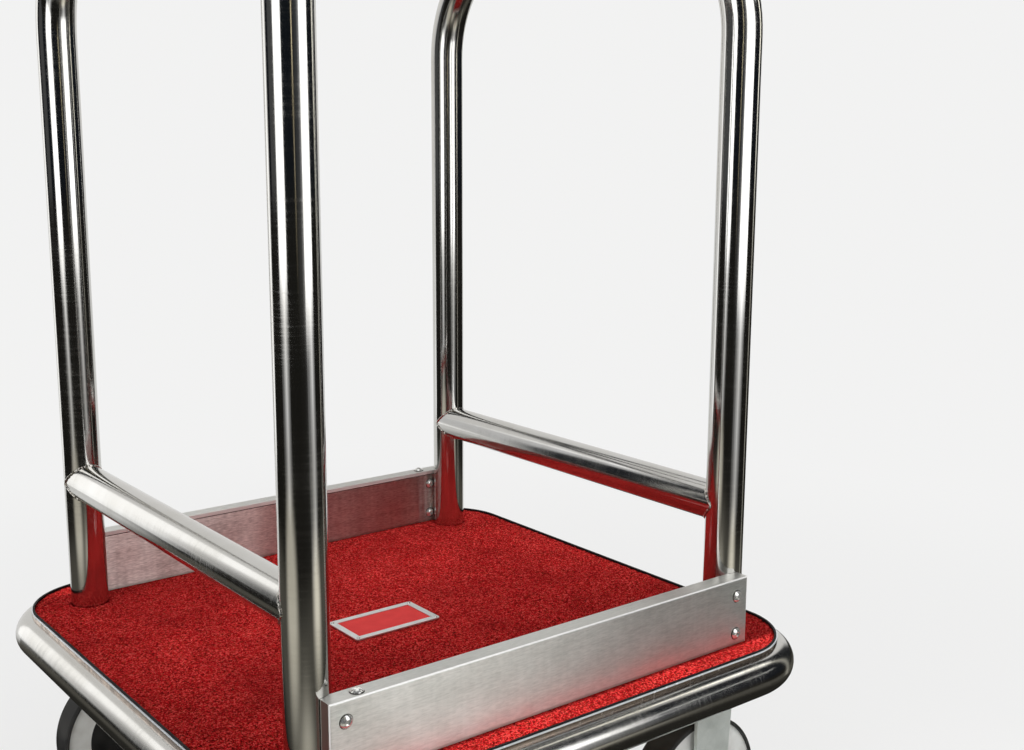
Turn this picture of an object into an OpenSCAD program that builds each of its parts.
// Luggage cart: a square carpeted deck in a bent tube frame, a bent tube hoop
// over the front and the rear, a low crossbar in each hoop, a folded guard rail
// along each side and four swivel casters.
// Origin: centre of the cart on the floor. +X is the front, +Y the left, +Z up.
// Lengths are in millimetres.

/* [Tubes] */
// Outside diameter of every round tube
tube_d = 38.1; // [34:0.1:42]
// Wall of every round tube
tube_wall = 1.6; // [1.2:0.1:3]

/* [Hoops] */
// Distance between the front and the rear hoop, axis to axis
post_span_x = 470; // [440:10:700]
// Width of each hoop, axis to axis
post_span_y = 470; // [440:10:600]
// Height of the top of a hoop above the carpet
hoop_h = 719.6; // [600:0.2:1100]
// Radius of the bends of a hoop, on the axis of the tube
hoop_bend_r = 120; // [80:5:180]
// Height of the axis of a crossbar above the carpet
crossbar_h = 132.6; // [110:0.2:250]

/* [Deck] */
// Distance from the axis of a post out to the axis of the deck tube
deck_reach = 60.5; // [55:0.5:80]
// Corner radius of the deck tube, on its axis
deck_corner_r = 75; // [65:1:90]
// Thickness of the plywood board
board_t = 12; // [9:1:15]
// Thickness of the carpet
carpet_t = 5.5; // [3:0.5:9]
// Distance of the carpet's edge in from the axis of the deck tube
carpet_edge_in = 1; // [0:0.1:3]
// Width of the black edging round the carpet
edging_w = 2; // [1:0.1:4]
// Height of the edging over the carpet
edging_rise = 1.4; // [0:0.1:3]
// Thickness of the steel band round the edging
band_t = 1; // [0.6:0.1:2]
// Height of the steel band over the carpet
band_rise = 0.2; // [0:0.1:2]
// Diameter of a board screw
board_screw_d = 4.8; // [3:0.2:6]
// Length of a board screw
board_screw_len = 16; // [15:1:19]

/* [Underframe] */
// Thickness of the corner plates that carry the posts and casters
plate_t = 4; // [3:0.5:6]
// Reach of a corner plate from the post axis towards the middle of the cart
plate_reach = 55; // [45:1:70]
// Width of the rectangular cross beams
beam_w = 30; // [24:1:36]
// Wall of the cross beams
beam_wall = 2; // [1.5:0.5:3]
// Length of the threaded insert in the foot of each post
insert_len = 30; // [24:1:40]

/* [Guard rails] */
// Height of a rail above the carpet
rail_h = 66.7; // [50:0.1:85]
// Distance from the post axis out to the outer face of a rail
rail_out = 33.2; // [30:0.1:38]
// Thickness of a rail, from its outer to its inner face
rail_depth = 16.8; // [15:0.1:22]
// Distance of a rail's end from the post axis
rail_inset = 0.2; // [0:0.1:4]
// Thickness of the folded sheet
rail_sheet = 2; // [1.5:0.5:3]
// Outside radius of the long and the upright folds
rail_fold_r = 1.5; // [0.5:0.1:4]
// Distance of the outer screws from the end of the rail
outer_screw_in = 14.7; // [12:0.1:16]
// Distance of the inner screws from the post axis
inner_screw_in = 18.5; // [18:0.1:28]
// Distance of the screw on top from the post axis
top_screw_in = 29.8; // [29:0.1:36]
// Height of the lower screws above the carpet
screw_low = 11.1; // [10:0.1:20]
// Height of the upper screws above the carpet
screw_high = 49.3; // [40:0.1:52]
// Thread diameter of the rail screws
screw_d = 6; // [4:0.5:6]
// Head diameter of the rail screws
screw_head_d = 12.6; // [9:0.1:13]
// Head height of the rail screws
screw_head_h = 3.4; // [2:0.2:4]

/* [Badge] */
// Length of the badge, along the cart
badge_l = 100; // [60:1:140]
// Width of the badge
badge_w = 57; // [40:1:80]
// Width of the badge's rim
badge_rim = 7; // [5:0.5:10]
// Thickness of the badge's rim
badge_t = 1.5; // [1:0.1:3]
// Distance of the badge's centre behind the middle of the deck
badge_back = 19.3; // [0:0.1:40]
// Distance of the badge's centre to the right of the middle of the deck
badge_right = 7.4; // [0:0.1:40]

/* [Casters] */
// Height from the floor to the face that a caster is fastened to
caster_h = 190.5; // [186:0.5:230]
// Diameter of a wheel over its tyre
wheel_d = 152.4; // [125:0.1:156]
// Width of the tread
tread_w = 32; // [26:1:36]
// Depth of the tyre over the rim's lips
tyre_depth = 4; // [2:0.5:10]
// Distance from the swivel axis back to the axle
caster_trail = 35; // [25:1:42]
// Diameter of the black hub caps
hub_cap_d = 97; // [70:1:105]
// Diameter of the kingpin
kingpin_d = 12; // [10:1:14]
// Diameter of the axle bolt
axle_d = 12; // [8:1:13]
// Thickness of the fork's plate
fork_t = 4; // [3:0.5:5]
// Room between the tread and each leg of the fork
fork_room = 3.5; // [2:0.5:6]
// Diameter of the balls in the swivel race
ball_d = 7; // [6:0.5:7.5]
// Number of balls in each swivel race
ball_count = 14; // [8:1:18]

/* [Fits] */
// Gap at a welded or coped joint
weld_gap = 0.15; // [0.1:0.05:0.3]
// Gap round a post where it passes the board and the carpet
post_gap = 0.4; // [0.2:0.1:1]
// Gap between pieces that are screwed together
seat_gap = 0.1; // [0.05:0.05:0.3]
// Running gap of the wheels and of the swivels, on the radius
run_gap = 0.08; // [0.05:0.01:0.1]

/* [Hidden] */
$fn = 64;

tube_r = tube_d / 2;
bore_r = tube_r - tube_wall;
post_x = post_span_x / 2;
post_y = post_span_y / 2;
// Signs of X and Y at the four corners: front right, front left, rear right, rear left
CORNERS = [[1, -1], [1, 1], [-1, -1], [-1, 1]];

// Levels above the floor
plate_top_z = caster_h + plate_t;
deck_tube_z = caster_h + tube_r;
board_top_z = caster_h + tube_d;
board_under_z = board_top_z - board_t;
carpet_top_z = board_top_z + carpet_t;
crossbar_z = carpet_top_z + crossbar_h;
hoop_top_z = carpet_top_z + hoop_h - tube_r;
beam_h = board_under_z - plate_top_z;

// Board screws, from the middle of the cart along each beam
board_screw_y_end = post_y * 0.45;
board_screw_y_mid = post_y * 0.7;
board_screw_head_h = board_screw_d / 2;

// Half sizes of the deck tube, on its axis
deck_x = post_x + deck_reach;
deck_y = post_y + deck_reach;

// Outlines on the deck, outwards from the axis of the deck tube
carpet_edge = -carpet_edge_in;
edging_edge = carpet_edge + edging_w;
band_in = edging_edge + seat_gap;
band_out = band_in + band_t;

// How far the deck tube reaches in from its axis at a height over its underside
function tube_reach(h) = sqrt(max(0, tube_r * tube_r - pow(tube_r - h, 2)));
plate_edge_in = tube_reach(plate_t) + weld_gap;
board_edge_in = tube_reach(max(tube_r, tube_d - board_t)) + weld_gap;

// Guard rail, measured outwards from the post axis
rail_in = rail_out - rail_depth;
rail_half = post_x - rail_inset;
rail_top_z = carpet_top_z + rail_h;
screw_r = screw_d / 2;
screw_hole_r = screw_r + seat_gap;
outer_screw_x = rail_half - outer_screw_in;
inner_screw_x = post_x - inner_screw_in;
top_screw_x = post_x - top_screw_in;
block_len = top_screw_in + screw_d;
block_in = rail_in + rail_sheet + seat_gap;
block_out = rail_out - rail_sheet - seat_gap;
// Less than half the rail, so that screws from both faces end short of each other
screw_grip = rail_depth * 0.45;
screw_end_room = 0.5;

// Caster, from its fastening face down
cup_t = 3;
cup_r = 37;
cup_wall = 2.5;
race_r = 24;
groove_depth = 0.8;
ball_r = ball_d / 2;
race_room = ball_d - 2 * groove_depth;
cup_under_z = caster_h - cup_t;
crown_top_z = cup_under_z - race_room;
ball_z = cup_under_z - race_room / 2;
crown_r = cup_r - cup_wall - 1;
crown_under_z = crown_top_z - fork_t;
washer_t = 2;
king_head_h = 7;
kingpin_r = kingpin_d / 2;
king_head_top_z = crown_under_z - washer_t - 2 * run_gap;
stem_top_z = plate_top_z + insert_len - 5;

// Wheel and fork
wheel_r = wheel_d / 2;
rim_r = wheel_r - tyre_depth;
tyre_root = 2.5;
rim_lip = 2.5;
rim_half = tread_w / 2 - 1.5;
hub_half = tread_w / 2 + fork_room - 0.5;
cap_r = hub_cap_d / 2;
cap_t = 2.5;
axle_r = axle_d / 2;
sleeve_r = axle_r + 3.5;
hub_r = sleeve_r + 7;
fork_in = tread_w / 2 + fork_room;
fork_out = fork_in + fork_t;
fork_end_r = 19;
// Leading edge of a leg behind the swivel axis: at the crown, and at its knee
leg_top_back = 4;
leg_knee_back = 9;
// Share of the height from the crown down to the axle at which the knee lies
leg_knee_share = 0.72;

// Plain shapes
module rounded_plate(hx, hy, r) {
    square([2 * (hx - r), 2 * hy], center = true);
    square([2 * hx, 2 * (hy - r)], center = true);
    for (sx = [-1, 1], sy = [-1, 1])
        translate([sx * (hx - r), sy * (hy - r)])
            circle(r);
}

module rod_x(len, r) rotate([0, 90, 0]) cylinder(h = len, r = r, center = true);
module rod_y(len, r) rotate([90, 0, 0]) cylinder(h = len, r = r, center = true);

module at_posts() {
    for (c = CORNERS)
        translate([c[0] * post_x, c[1] * post_y, 0])
            children();
}

// Bent tube round the deck, as a bar of the given radius
module deck_bar(r) {
    for (s = [-1, 1]) {
        translate([0, s * deck_y, deck_tube_z])
            rod_x(2 * (deck_x - deck_corner_r), r);
        translate([s * deck_x, 0, deck_tube_z])
            rod_y(2 * (deck_y - deck_corner_r), r);
    }
    for (i = [0 : 3])
        translate([(i == 0 || i == 3 ? 1 : -1) * (deck_x - deck_corner_r),
                   (i < 2 ? 1 : -1) * (deck_y - deck_corner_r), deck_tube_z])
            rotate([0, 0, i * 90])
                rotate_extrude(angle = 90)
                    translate([deck_corner_r, 0])
                        circle(r);
}

module deck_frame() {
    color("silver")
        difference() {
            deck_bar(tube_r);
            deck_bar(bore_r);
        }
}

// Rectangular tube along Y between the board and the corner plates
module beam_tube(len) {
    translate([0, 0, plate_top_z + beam_h / 2])
        difference() {
            cube([beam_w, len, beam_h], center = true);
            cube([beam_w - 2 * beam_wall, len + 2, beam_h - 2 * beam_wall], center = true);
        }
}

// The end beams run from post to post of one hoop
module cross_beam_end(side) {
    color("dimgray")
        difference() {
            translate([side * post_x, 0, 0])
                beam_tube(post_span_y);
            at_posts()
                translate([0, 0, caster_h])
                    cylinder(h = tube_d, r = tube_r + weld_gap);
            board_screw_places()
                cylinder(h = board_screw_len + 1, d = board_screw_d + 2 * seat_gap);
        }
}

// The middle beam runs from side to side of the deck tube
module cross_beam_middle() {
    color("dimgray")
        difference() {
            beam_tube(2 * deck_y);
            for (s = [-1, 1])
                translate([0, s * deck_y, deck_tube_z])
                    rod_x(beam_w * 2, tube_r + weld_gap);
            board_screw_places()
                cylinder(h = board_screw_len + 1, d = board_screw_d + 2 * seat_gap);
        }
}

// Plate welded into each corner of the deck tube
module corner_plate(sx, sy) {
    color("dimgray")
        translate([0, 0, caster_h])
            linear_extrude(plate_t)
                difference() {
                    intersection() {
                        rounded_plate(deck_x - plate_edge_in, deck_y - plate_edge_in,
                                      deck_corner_r - plate_edge_in);
                        translate([sx * (post_x - plate_reach + deck_x),
                                   sy * (post_y - plate_reach + deck_y)])
                            square([2 * deck_x, 2 * deck_y], center = true);
                    }
                    translate([sx * post_x, sy * post_y])
                        circle(kingpin_r + 0.5);
                }
}

// Origin of each board screw: the tip of its thread, pointing up
module board_screw_places() {
    for (p = [[-post_x, board_screw_y_end], [-post_x, -board_screw_y_end],
              [post_x, board_screw_y_end], [post_x, -board_screw_y_end],
              [0, board_screw_y_mid], [0, -board_screw_y_mid]])
        translate([p[0], p[1], board_top_z - board_screw_len])
            children();
}

module board_screws() {
    color("gray")
        board_screw_places() {
            cylinder(h = board_screw_len, d = board_screw_d);
            translate([0, 0, board_screw_len - board_screw_head_h])
                cylinder(h = board_screw_head_h, d1 = board_screw_d, d2 = 2 * board_screw_d);
        }
}

// Outline of the deck, moved out from the axis of the deck tube
module deck_outline(out) {
    rounded_plate(deck_x + out, deck_y + out, deck_corner_r + out);
}

module deck_board() {
    color("burlywood")
        difference() {
            translate([0, 0, board_under_z])
                linear_extrude(board_t)
                    deck_outline(-board_edge_in);
            at_posts()
                translate([0, 0, caster_h])
                    cylinder(h = tube_d * 2, r = tube_r + post_gap);
            board_screw_places() {
                cylinder(h = board_screw_len + 1, d = board_screw_d + 2 * seat_gap);
                translate([0, 0, board_screw_len - board_screw_head_h])
                    cylinder(h = board_screw_head_h, d1 = board_screw_d + 2 * seat_gap,
                             d2 = 2 * board_screw_d + 2 * seat_gap);
            }
        }
}

module carpet() {
    color("firebrick")
        difference() {
            translate([0, 0, board_top_z])
                linear_extrude(carpet_t)
                    deck_outline(carpet_edge);
            at_posts()
                translate([0, 0, board_under_z])
                    cylinder(h = tube_d * 2, r = tube_r + post_gap);
        }
}

// Upright strip on the deck tube, between two outlines
module edge_strip(inner, outer, h) {
    translate([0, 0, board_top_z])
        linear_extrude(h)
            difference() {
                deck_outline(outer);
                deck_outline(inner);
            }
}

module carpet_edging() {
    color("black")
        edge_strip(carpet_edge, edging_edge, carpet_t + edging_rise);
}

// Steel band that holds the edging in
module edge_band() {
    color("silver")
        edge_strip(band_in, band_out, carpet_t + band_rise);
}

// One hoop as a bar of the given radius, its feet at z = foot
module hoop_bar(r, foot) {
    bend_z = hoop_top_z - hoop_bend_r;
    for (s = [-1, 1]) {
        translate([0, s * post_y, foot])
            cylinder(h = bend_z - foot, r = r);
        translate([0, s * (post_y - hoop_bend_r), bend_z])
            rotate([90, 0, s * 90])
                rotate_extrude(angle = 90)
                    translate([hoop_bend_r, 0])
                        circle(r);
    }
    translate([0, 0, hoop_top_z])
        rod_y(2 * (post_y - hoop_bend_r), r);
}

module hoop(side) {
    color("silver")
        translate([side * post_x, 0, 0])
            difference() {
                hoop_bar(tube_r, plate_top_z);
                hoop_bar(bore_r, plate_top_z - 1);
            }
}

// Low bar between the posts of one hoop, coped to their round sides
module crossbar(side) {
    color("silver")
        translate([side * post_x, 0, crossbar_z])
            difference() {
                rod_y(post_span_y, tube_r);
                rod_y(post_span_y + 2, bore_r);
                for (s = [-1, 1])
                    translate([0, s * post_y, 0])
                        cylinder(h = 2 * tube_d, r = tube_r + weld_gap, center = true);
            }
}

// Threaded plugs welded into the feet of the posts, for the kingpins
module stem_inserts() {
    color("gray")
        at_posts()
            translate([0, 0, plate_top_z])
                difference() {
                    cylinder(h = insert_len, r = bore_r - seat_gap);
                    translate([0, 0, -1])
                        cylinder(h = insert_len + 2, r = kingpin_r + seat_gap);
                }
}

// Button head screw: its head on z = 0, its thread down to z = -grip
module button_screw(grip) {
    dome_r = (pow(screw_head_h, 2) + pow(screw_head_d / 2, 2)) / (2 * screw_head_h);
    translate([0, 0, -grip])
        cylinder(h = grip + 0.2, r = screw_r);
    difference() {
        intersection() {
            cylinder(h = screw_head_h, d = screw_head_d);
            translate([0, 0, screw_head_h - dome_r])
                sphere(dome_r);
        }
        translate([0, 0, screw_head_h * 0.45])
            cylinder(h = screw_head_h, d = screw_head_d * 0.42, $fn = 6);
    }
}

// Places of the rail screws on the right rail, their heads outwards
module outer_screw_places() {
    for (sx = [-1, 1], z = [screw_low, screw_high])
        translate([sx * outer_screw_x, -(post_y + rail_out), carpet_top_z + z])
            rotate([90, 0, 0])
                children();
}

module inner_screw_places() {
    for (sx = [-1, 1], z = [screw_low, screw_high])
        translate([sx * inner_screw_x, -(post_y + rail_in), carpet_top_z + z])
            rotate([-90, 0, 0])
                children();
}

module top_screw_place() {
    translate([-top_screw_x, -(post_y + (block_in + block_out) / 2), rail_top_z])
        children();
}

module rail_screw_holes() {
    outer_screw_places()
        translate([0, 0, -screw_grip - screw_end_room])
            cylinder(h = screw_grip + 1, r = screw_hole_r);
    inner_screw_places()
        translate([0, 0, -screw_grip - screw_end_room])
            cylinder(h = screw_grip + 1, r = screw_hole_r);
    top_screw_place()
        translate([0, 0, -screw_grip - screw_end_room])
            cylinder(h = screw_grip + 1, r = screw_hole_r);
}

// Room that both posts of the right side take from the rail, with a gap round them
module right_posts(gap) {
    for (sx = [-1, 1])
        translate([sx * post_x, -post_y, carpet_top_z - 1])
            cylinder(h = rail_h + 2, r = tube_r + gap);
}

// Folds of the outer shell: rounded at the long top edge and the upright edges
module rail_shell(half, out, top, r) {
    depth = out - rail_in;
    intersection() {
        translate([0, -(post_y + out), 0])
            rotate([90, 0, 90])
                translate([0, 0, -half])
                    linear_extrude(2 * half) {
                        translate([0, carpet_top_z])
                            square([depth, top - carpet_top_z - r]);
                        translate([r, carpet_top_z])
                            square([depth - r, top - carpet_top_z]);
                        translate([r, top - r])
                            circle(r);
                    }
        translate([0, -(post_y + out), carpet_top_z - 1])
            linear_extrude(rail_h + 2) {
                translate([-half, r])
                    square([2 * half, depth]);
                translate([-half + r, 0])
                    square([2 * (half - r), depth]);
                for (s = [-1, 1])
                    translate([s * (half - r), r])
                        circle(r);
            }
    }
}

// Folded shell of the right rail: outer face, top flange and two end flanges
module rail_channel_right() {
    inner_half = rail_half - rail_sheet;
    color("gainsboro")
        difference() {
            rail_shell(rail_half, rail_out, rail_top_z, rail_fold_r);
            translate([-inner_half, -(post_y + rail_out - rail_sheet), carpet_top_z - 1])
                cube([2 * inner_half, rail_depth, rail_h - rail_sheet + 1]);
            right_posts(post_gap);
            rail_screw_holes();
        }
}

// Inner face of the right rail, under the top flange
module rail_cover_right() {
    cover_half = post_x - sqrt(max(0, pow(tube_r, 2) - pow(rail_in, 2))) - post_gap;
    color("gainsboro")
        difference() {
            translate([-cover_half, -(post_y + rail_in + rail_sheet), carpet_top_z])
                cube([2 * cover_half, rail_sheet, rail_h - rail_sheet - seat_gap]);
            rail_screw_holes();
        }
}

// Blocks inside the right rail, welded to the posts, that its screws hold to
module rail_blocks_right() {
    color("gray")
        difference() {
            for (sx = [-1, 1])
                translate([sx * (post_x - block_len / 2 - rail_inset - rail_sheet - seat_gap),
                           -(post_y + (block_in + block_out) / 2),
                           carpet_top_z + (rail_h - rail_sheet - seat_gap) / 2])
                    cube([block_len, block_out - block_in,
                          rail_h - rail_sheet - seat_gap], center = true);
            right_posts(weld_gap);
            rail_screw_holes();
        }
}

module rail_screws_right() {
    color("silver") {
        outer_screw_places() button_screw(screw_grip);
        inner_screw_places() button_screw(screw_grip);
        top_screw_place() button_screw(screw_grip);
    }
}

// The left rail is the right one turned half round
module turned() rotate([0, 0, 180]) children();

// Badge: a bright rim round a plain coloured panel, riveted at its corners
module badge_place() translate([-badge_back, -badge_right, carpet_top_z]) children();

module badge_rivet_places() {
    for (sx = [-1, 1], sy = [-1, 1])
        translate([sx * (badge_l - badge_rim) / 2, sy * (badge_w - badge_rim) / 2, 0])
            children();
}

module badge_rim() {
    color("silver")
        badge_place()
            linear_extrude(badge_t)
                difference() {
                    rounded_plate(badge_l / 2, badge_w / 2, 3);
                    square([badge_l - 2 * badge_rim, badge_w - 2 * badge_rim], center = true);
                    badge_rivet_places() circle(1.3 + seat_gap);
                }
}

module badge_panel() {
    color("indianred")
        badge_place()
            linear_extrude(badge_t * 0.6)
                square([badge_l - 2 * badge_rim - seat_gap,
                        badge_w - 2 * badge_rim - seat_gap], center = true);
}

module badge_rivets() {
    color("silver")
        badge_place()
            badge_rivet_places() {
                cylinder(h = badge_t, r = 1.3);
                translate([0, 0, badge_t])
                    intersection() {
                        cylinder(h = 1, r = 2.2);
                        translate([0, 0, 0.9 - 3.1])
                            sphere(3.1);
                    }
            }
}

// Casters: the swivel axis of each is the axis of the post over it, and at rest
// each wheel trails towards the middle of the cart
module at_caster(sx, sy) {
    translate([sx * post_x, sy * post_y, 0])
        rotate([0, 0, sx < 0 ? 180 : 0])
            children();
}

module at_axle() translate([-caster_trail, 0, wheel_r]) children();

// Upper half of the swivel race, clamped under the corner plate
module race_cup(sx, sy) {
    color("lightgray")
        at_caster(sx, sy)
            rotate_extrude()
                difference() {
                    union() {
                        translate([kingpin_r + run_gap, cup_under_z])
                            square([cup_r - kingpin_r - run_gap, cup_t]);
                        translate([cup_r - cup_wall, crown_top_z])
                            square([cup_wall, caster_h - crown_top_z]);
                    }
                    translate([race_r, ball_z])
                        circle(ball_r + seat_gap);
                }
}

module swivel_balls() {
    color("silver")
        for (c = CORNERS)
            at_caster(c[0], c[1])
                for (i = [0 : ball_count - 1])
                    rotate([0, 0, i * 360 / ball_count])
                        translate([race_r, 0, ball_z])
                            sphere(ball_r);
}

// Kingpin, up through the crown, the cup and the corner plate into the insert,
// and the thrust washer on its head
module kingpin(sx, sy) {
    color("gray")
        at_caster(sx, sy) {
            translate([0, 0, king_head_top_z - king_head_h])
                cylinder(h = king_head_h, r = kingpin_r * 1.6, $fn = 6);
            translate([0, 0, king_head_top_z - 1])
                cylinder(h = stem_top_z - king_head_top_z + 1, r = kingpin_r);
            translate([0, 0, king_head_top_z + run_gap])
                difference() {
                    cylinder(h = washer_t, r = kingpin_r * 2);
                    translate([0, 0, -1])
                        cylinder(h = washer_t + 2, r = kingpin_r + run_gap);
                }
        }
}

// Outline of a fork leg from the side: a straight trailing edge, a leading edge
// that draws in and a round end about the axle
module fork_leg_side() {
    polygon([
        [-caster_trail - fork_end_r, crown_top_z],
        [-leg_top_back, crown_top_z],
        [-leg_knee_back, crown_top_z - (crown_top_z - wheel_r) * leg_knee_share],
        [-caster_trail + fork_end_r, wheel_r],
        [-caster_trail - fork_end_r, wheel_r]
    ]);
    translate([-caster_trail, wheel_r])
        circle(fork_end_r);
}

// Channel section of the fork, from the front: two legs under a crown
module fork_section(half, top, r) {
    translate([-half, 0])
        square([2 * half, top - r]);
    translate([-half + r, 0])
        square([2 * (half - r), top]);
    for (s = [-1, 1])
        translate([s * (half - r), top - r])
            circle(r);
}

module fork(sx, sy) {
    color("lightgray")
        at_caster(sx, sy)
            difference() {
                union() {
                    intersection() {
                        rotate([90, 0, 0])
                            linear_extrude(4 * fork_out, center = true)
                                fork_leg_side();
                        rotate([90, 0, 90])
                            translate([0, 0, -2 * crown_r])
                                linear_extrude(4 * crown_r)
                                    difference() {
                                        fork_section(fork_out, crown_top_z, fork_t * 1.5);
                                        translate([0, -1])
                                            fork_section(fork_in, crown_under_z + 1, fork_t / 2);
                                    }
                    }
                    translate([0, 0, crown_under_z])
                        cylinder(h = fork_t, r = crown_r);
                }
                translate([0, 0, crown_under_z - 1])
                    cylinder(h = fork_t + 2, r = kingpin_r + run_gap);
                rotate_extrude()
                    translate([race_r, ball_z])
                        circle(ball_r + seat_gap);
                at_axle()
                    rod_y(4 * fork_out, axle_r + seat_gap);
            }
}

// Axle bolt, its nut and the sleeve that the fork clamps and the wheel runs on
module axle(sx, sy) {
    head_h = axle_d * 0.55;
    color("gray")
        at_caster(sx, sy)
            at_axle() {
                rotate([90, 0, 0])
                    cylinder(h = 2 * fork_out + 2 * head_h + 2, r = axle_r, center = true);
                translate([0, -fork_out, 0])
                    rotate([90, 0, 0])
                        cylinder(h = head_h, r = axle_d * 0.87, $fn = 6);
                translate([0, fork_out, 0])
                    rotate([-90, 0, 0])
                        difference() {
                            cylinder(h = head_h, r = axle_d * 0.87, $fn = 6);
                            translate([0, 0, -1])
                                cylinder(h = head_h + 2, r = axle_r + seat_gap);
                        }
                difference() {
                    rod_y(2 * fork_in, sleeve_r);
                    rod_y(2 * fork_in + 2, axle_r + seat_gap);
                }
            }
}

// Half profile of a wheel in radius and width, turned about the axle
module turned_wheel(sx, sy) {
    at_caster(sx, sy)
        at_axle()
            rotate([90, 0, 0])
                rotate_extrude()
                    children();
}

// Light core: hub, web, and a dished side ring out to the rim's lips
module wheel(sx, sy) {
    web_half = tread_w * 0.2;
    ring_in = cap_r + seat_gap;
    color("whitesmoke")
        turned_wheel(sx, sy)
            difference() {
                union() {
                    translate([sleeve_r + run_gap, -hub_half])
                        square([hub_r - sleeve_r - run_gap, 2 * hub_half]);
                    translate([hub_r - 1, -web_half])
                        square([ring_in - hub_r + 2, 2 * web_half]);
                    polygon([
                        [ring_in - 5, -rim_half + cap_t + 1], [ring_in, -rim_half + cap_t],
                        [ring_in, -rim_half - 0.5], [rim_r, -rim_half + 1.5],
                        [rim_r, rim_half - 1.5],
                        [ring_in, rim_half + 0.5], [ring_in, rim_half - cap_t],
                        [ring_in - 5, rim_half - cap_t - 1]
                    ]);
                }
                translate([rim_r - tyre_root, -rim_half + 1.5 + rim_lip])
                    square([tyre_root + 1, 2 * (rim_half - 1.5 - rim_lip)]);
            }
}

// Thin black tyre, keyed into the rim between its lips
module tyre(sx, sy) {
    shoulder = min(tyre_depth, 4) * 0.8;
    half = tread_w / 2;
    root_half = rim_half - 1.5 - rim_lip - seat_gap;
    color("black")
        turned_wheel(sx, sy) {
            translate([rim_r - tyre_root + seat_gap, -root_half])
                square([tyre_root + 1, 2 * root_half]);
            translate([rim_r + seat_gap, -half])
                square([tyre_depth - seat_gap - shoulder, 2 * half]);
            translate([rim_r + seat_gap, -half + shoulder])
                square([tyre_depth - seat_gap, 2 * (half - shoulder)]);
            intersection() {
                for (s = [-1, 1])
                    translate([wheel_r - shoulder, s * (half - shoulder)])
                        circle(shoulder);
                translate([rim_r + seat_gap, -half])
                    square([tyre_depth, 2 * half]);
            }
        }
}

// Black caps that close the hollow beside the web on both faces
module hub_caps(sx, sy) {
    color("black")
        turned_wheel(sx, sy)
            for (s = [0, 1])
                mirror([0, s]) {
                    translate([hub_r + seat_gap, rim_half - cap_t])
                        square([cap_r - hub_r - seat_gap, cap_t]);
                    translate([hub_r + seat_gap, rim_half - 0.5])
                        square([6, 2]);
                }
}

deck_frame();
cross_beam_end(1);  // cross_beam_front
cross_beam_middle();
cross_beam_end(-1);  // cross_beam_rear
corner_plate(1, -1);  // corner_plate_fr
corner_plate(1, 1);  // corner_plate_fl
corner_plate(-1, -1);  // corner_plate_rr
corner_plate(-1, 1);  // corner_plate_rl
deck_board();
board_screws();
carpet();
carpet_edging();
edge_band();
hoop(1);  // hoop_front
hoop(-1);  // hoop_rear
crossbar(1);  // crossbar_front
crossbar(-1);  // crossbar_rear
stem_inserts();
rail_channel_right();
turned() rail_channel_right();  // rail_channel_left
rail_cover_right();
turned() rail_cover_right();  // rail_cover_left
rail_blocks_right();
turned() rail_blocks_right();  // rail_blocks_left
rail_screws_right();
turned() rail_screws_right();  // rail_screws_left
badge_rim();
badge_panel();
badge_rivets();
swivel_balls();
race_cup(1, -1);  // race_cup_fr
race_cup(1, 1);  // race_cup_fl
race_cup(-1, -1);  // race_cup_rr
race_cup(-1, 1);  // race_cup_rl
kingpin(1, -1);  // kingpin_fr
kingpin(1, 1);  // kingpin_fl
kingpin(-1, -1);  // kingpin_rr
kingpin(-1, 1);  // kingpin_rl
fork(1, -1);  // fork_fr
fork(1, 1);  // fork_fl
fork(-1, -1);  // fork_rr
fork(-1, 1);  // fork_rl
axle(1, -1);  // axle_fr
axle(1, 1);  // axle_fl
axle(-1, -1);  // axle_rr
axle(-1, 1);  // axle_rl
wheel(1, -1);  // wheel_fr
wheel(1, 1);  // wheel_fl
wheel(-1, -1);  // wheel_rr
wheel(-1, 1);  // wheel_rl
tyre(1, -1);  // tyre_fr
tyre(1, 1);  // tyre_fl
tyre(-1, -1);  // tyre_rr
tyre(-1, 1);  // tyre_rl
hub_caps(1, -1);  // hub_caps_fr
hub_caps(1, 1);  // hub_caps_fl
hub_caps(-1, -1);  // hub_caps_rr
hub_caps(-1, 1);  // hub_caps_rl
